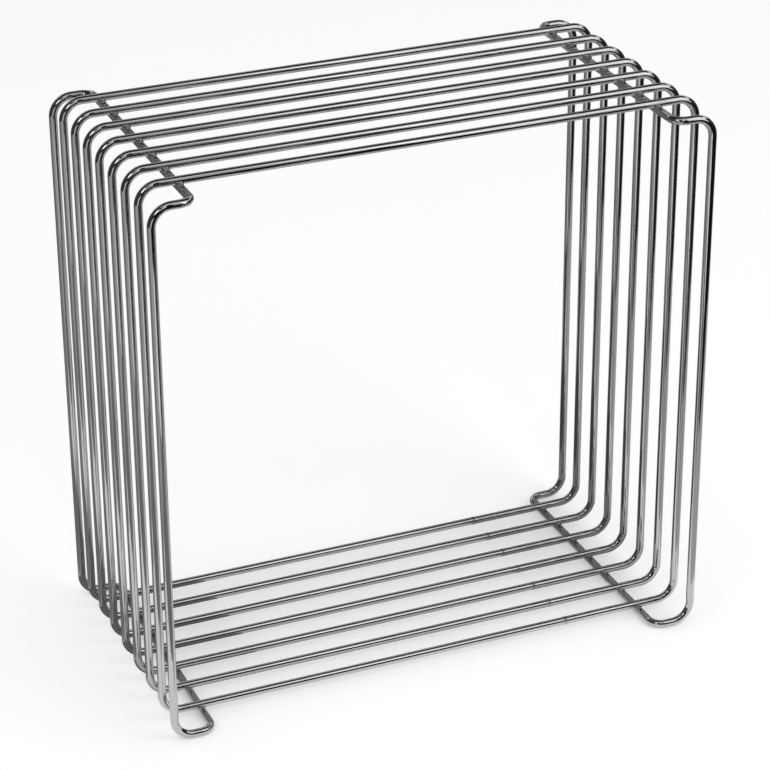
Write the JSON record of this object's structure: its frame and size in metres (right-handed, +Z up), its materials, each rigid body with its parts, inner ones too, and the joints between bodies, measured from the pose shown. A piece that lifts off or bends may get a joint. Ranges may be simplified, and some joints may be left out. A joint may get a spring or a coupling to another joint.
{
  "type": "wire shelf cube",
  "caption": "Open cube of chrome-plated round wire: upright wire rings in a row, welded onto a bent side frame at each side, for storing and displaying things.",
  "frame": {"origin": "on the floor, at the middle of the width and of the depth", "axes": "+Z up, +X to the right as seen from the front, -Y towards the front"},
  "size_m": [0.348, 0.188, 0.348],
  "materials": {
    "chrome_wire": "bright chrome plate on drawn steel wire, with faint lines along the wire",
    "chrome_weld": "chrome plate over weld metal, duller and slightly rough"
  },
  "bodies": {
    "root": {"ring_1": "chrome_wire", "ring_2": "chrome_wire", "ring_3": "chrome_wire", "ring_4": "chrome_wire", "ring_5": "chrome_wire", "ring_6": "chrome_wire", "ring_7": "chrome_wire", "left_side_frame": "chrome_wire", "right_side_frame": "chrome_wire", "ring_1_butt_weld": "chrome_weld", "ring_2_butt_weld": "chrome_weld", "ring_3_butt_weld": "chrome_weld", "ring_4_butt_weld": "chrome_weld", "ring_5_butt_weld": "chrome_weld", "ring_6_butt_weld": "chrome_weld", "ring_7_butt_weld": "chrome_weld", "left_side_frame_butt_weld": "chrome_weld", "right_side_frame_butt_weld": "chrome_weld", "lower_left_cross_welds": "chrome_weld", "lower_right_cross_welds": "chrome_weld", "upper_left_cross_welds": "chrome_weld", "upper_right_cross_welds": "chrome_weld"}
  },
  "joints": []
}
